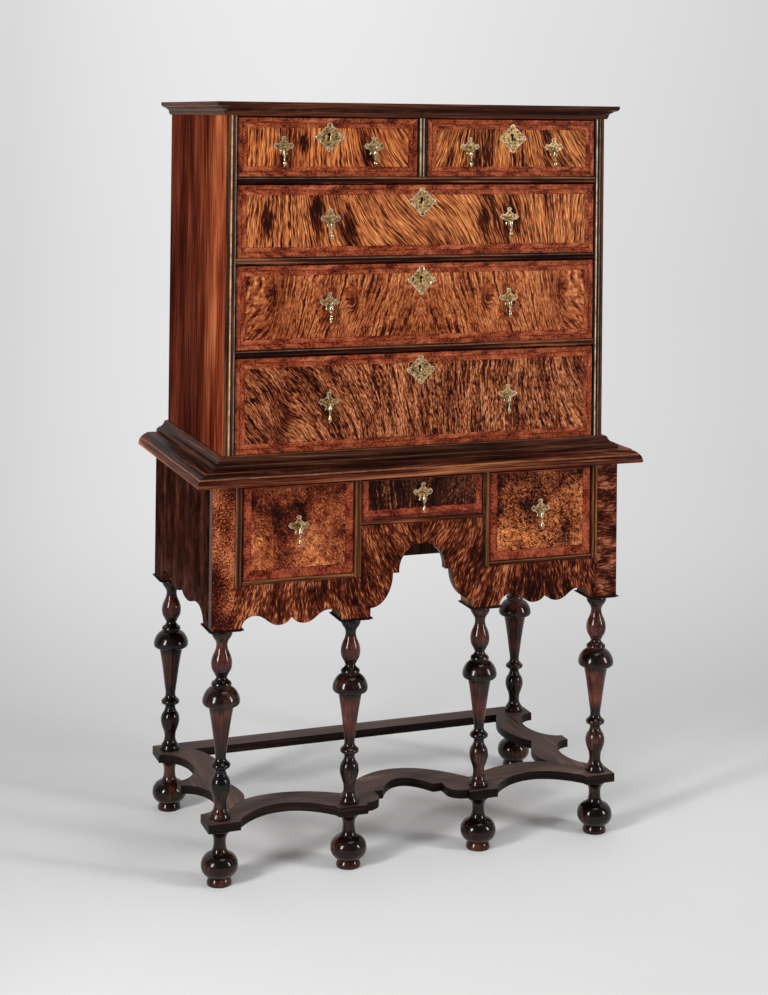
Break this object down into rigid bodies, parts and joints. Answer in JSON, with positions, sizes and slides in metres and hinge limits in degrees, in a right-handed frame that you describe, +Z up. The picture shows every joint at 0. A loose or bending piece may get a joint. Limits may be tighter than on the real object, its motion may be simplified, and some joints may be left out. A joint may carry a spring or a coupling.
{
  "type": "highboy",
  "caption": "High chest of drawers on turned legs with ball feet and flat shaped stretchers; veneered drawers slide out and their brass drops swing.",
  "frame": {"origin": "on the floor, in the middle of the bounding box", "axes": "+X to the right as seen from the front, +Y to the back, +Z up"},
  "size_m": [0.997, 0.54, 1.59],
  "materials": {
    "walnut": "polished",
    "dark_walnut": "polished",
    "figured_veneer": "polished",
    "ebonised_wood": "polished",
    "inner_wood": "bare",
    "brass": "worn"
  },
  "bodies": {
    "case": {"upper_left_side": "walnut", "upper_right_side": "walnut", "upper_bottom_board": "dark_walnut", "upper_top_board": "dark_walnut", "upper_back_panel": "inner_wood", "rail_lower": "walnut", "rail_middle": "walnut", "rail_upper": "walnut", "lower_left_side": "dark_walnut", "lower_right_side": "dark_walnut", "lower_apron": "walnut", "lower_back_panel": "inner_wood", "left_partition": "inner_wood", "right_partition": "inner_wood", "table_board": "dark_walnut", "stretcher_front": "ebonised_wood", "stretcher_left": "ebonised_wood", "stretcher_right": "ebonised_wood", "stretcher_back": "ebonised_wood", "leg_front_left": "ebonised_wood", "leg_front_inner_left": "ebonised_wood", "leg_front_inner_right": "ebonised_wood", "leg_front_right": "ebonised_wood", "leg_rear_left": "ebonised_wood", "leg_rear_right": "ebonised_wood", "foot_front_left": "ebonised_wood", "foot_front_inner_left": "ebonised_wood", "foot_front_inner_right": "ebonised_wood", "foot_front_right": "ebonised_wood", "foot_rear_left": "ebonised_wood", "foot_rear_right": "ebonised_wood"},
    "drawer_top_left": {"drawer_top_left_front": "figured_veneer", "drawer_top_left_box": "inner_wood"},
    "drawer_top_left_drop_left": {"drawer_top_left_drop_left": "brass"},
    "drawer_top_left_drop_right": {"drawer_top_left_drop_right": "brass"},
    "drawer_top_right": {"drawer_top_right_front": "figured_veneer", "drawer_top_right_box": "inner_wood"},
    "drawer_top_right_drop_left": {"drawer_top_right_drop_left": "brass"},
    "drawer_top_right_drop_right": {"drawer_top_right_drop_right": "brass"},
    "drawer_high": {"drawer_high_front": "figured_veneer", "drawer_high_box": "inner_wood"},
    "drawer_high_drop_left": {"drawer_high_drop_left": "brass"},
    "drawer_high_drop_right": {"drawer_high_drop_right": "brass"},
    "drawer_middle": {"drawer_middle_front": "figured_veneer", "drawer_middle_box": "inner_wood"},
    "drawer_middle_drop_left": {"drawer_middle_drop_left": "brass"},
    "drawer_middle_drop_right": {"drawer_middle_drop_right": "brass"},
    "drawer_low": {"drawer_low_front": "figured_veneer", "drawer_low_box": "inner_wood"},
    "drawer_low_drop_left": {"drawer_low_drop_left": "brass"},
    "drawer_low_drop_right": {"drawer_low_drop_right": "brass"},
    "drawer_base_left": {"drawer_base_left_front": "figured_veneer", "drawer_base_left_box": "inner_wood"},
    "drawer_base_left_drop": {"drawer_base_left_drop": "brass"},
    "drawer_base_right": {"drawer_base_right_front": "figured_veneer", "drawer_base_right_box": "inner_wood"},
    "drawer_base_right_drop": {"drawer_base_right_drop": "brass"},
    "drawer_base_centre": {"drawer_base_centre_front": "figured_veneer", "drawer_base_centre_box": "inner_wood"},
    "drawer_base_centre_drop": {"drawer_base_centre_drop": "brass"}
  },
  "joints": [
    {"name": "drawer_top_left_slide", "type": "slide", "parent": "case", "child": "drawer_top_left", "axis": [0, -1, 0], "range_m": [0, 0.34]},
    {"name": "drawer_top_left_drop_left_swing", "type": "hinge", "parent": "drawer_top_left", "child": "drawer_top_left_drop_left", "pos_m": [-0.30775, -0.21255, 1.498], "axis": [-1, 0, 0], "range_deg": [-4, 85]},
    {"name": "drawer_top_left_drop_right_swing", "type": "hinge", "parent": "drawer_top_left", "child": "drawer_top_left_drop_right", "pos_m": [-0.10925, -0.21255, 1.498], "axis": [-1, 0, 0], "range_deg": [-4, 85]},
    {"name": "drawer_top_right_slide", "type": "slide", "parent": "case", "child": "drawer_top_right", "axis": [0, -1, 0], "range_m": [0, 0.34]},
    {"name": "drawer_top_right_drop_left_swing", "type": "hinge", "parent": "drawer_top_right", "child": "drawer_top_right_drop_left", "pos_m": [0.10925, -0.21255, 1.498], "axis": [-1, 0, 0], "range_deg": [-4, 85]},
    {"name": "drawer_top_right_drop_right_swing", "type": "hinge", "parent": "drawer_top_right", "child": "drawer_top_right_drop_right", "pos_m": [0.30775, -0.21255, 1.498], "axis": [-1, 0, 0], "range_deg": [-4, 85]},
    {"name": "drawer_high_slide", "type": "slide", "parent": "case", "child": "drawer_high", "axis": [0, -1, 0], "range_m": [0, 0.34]},
    {"name": "drawer_high_drop_left_swing", "type": "hinge", "parent": "drawer_high", "child": "drawer_high_drop_left", "pos_m": [-0.2035, -0.21255, 1.3475], "axis": [-1, 0, 0], "range_deg": [-4, 85]},
    {"name": "drawer_high_drop_right_swing", "type": "hinge", "parent": "drawer_high", "child": "drawer_high_drop_right", "pos_m": [0.2035, -0.21255, 1.3475], "axis": [-1, 0, 0], "range_deg": [-4, 85]},
    {"name": "drawer_middle_slide", "type": "slide", "parent": "case", "child": "drawer_middle", "axis": [0, -1, 0], "range_m": [0, 0.34]},
    {"name": "drawer_middle_drop_left_swing", "type": "hinge", "parent": "drawer_middle", "child": "drawer_middle_drop_left", "pos_m": [-0.2035, -0.21255, 1.174], "axis": [-1, 0, 0], "range_deg": [-4, 85]},
    {"name": "drawer_middle_drop_right_swing", "type": "hinge", "parent": "drawer_middle", "child": "drawer_middle_drop_right", "pos_m": [0.2035, -0.21255, 1.174], "axis": [-1, 0, 0], "range_deg": [-4, 85]},
    {"name": "drawer_low_slide", "type": "slide", "parent": "case", "child": "drawer_low", "axis": [0, -1, 0], "range_m": [0, 0.34]},
    {"name": "drawer_low_drop_left_swing", "type": "hinge", "parent": "drawer_low", "child": "drawer_low_drop_left", "pos_m": [-0.2035, -0.21255, 0.967], "axis": [-1, 0, 0], "range_deg": [-4, 85]},
    {"name": "drawer_low_drop_right_swing", "type": "hinge", "parent": "drawer_low", "child": "drawer_low_drop_right", "pos_m": [0.2035, -0.21255, 0.967], "axis": [-1, 0, 0], "range_deg": [-4, 85]},
    {"name": "drawer_base_left_slide", "type": "slide", "parent": "case", "child": "drawer_base_left", "axis": [0, -1, 0], "range_m": [0, 0.34]},
    {"name": "drawer_base_left_drop_swing", "type": "hinge", "parent": "drawer_base_left", "child": "drawer_base_left_drop", "pos_m": [-0.273, -0.23655, 0.7204], "axis": [-1, 0, 0], "range_deg": [-4, 85]},
    {"name": "drawer_base_right_slide", "type": "slide", "parent": "case", "child": "drawer_base_right", "axis": [0, -1, 0], "range_m": [0, 0.34]},
    {"name": "drawer_base_right_drop_swing", "type": "hinge", "parent": "drawer_base_right", "child": "drawer_base_right_drop", "pos_m": [0.273, -0.23655, 0.7204], "axis": [-1, 0, 0], "range_deg": [-4, 85]},
    {"name": "drawer_base_centre_slide", "type": "slide", "parent": "case", "child": "drawer_base_centre", "axis": [0, -1, 0], "range_m": [0, 0.34]},
    {"name": "drawer_base_centre_drop_swing", "type": "hinge", "parent": "drawer_base_centre", "child": "drawer_base_centre_drop", "pos_m": [0, -0.23655, 0.7724], "axis": [-1, 0, 0], "range_deg": [-4, 85]}
  ]
}
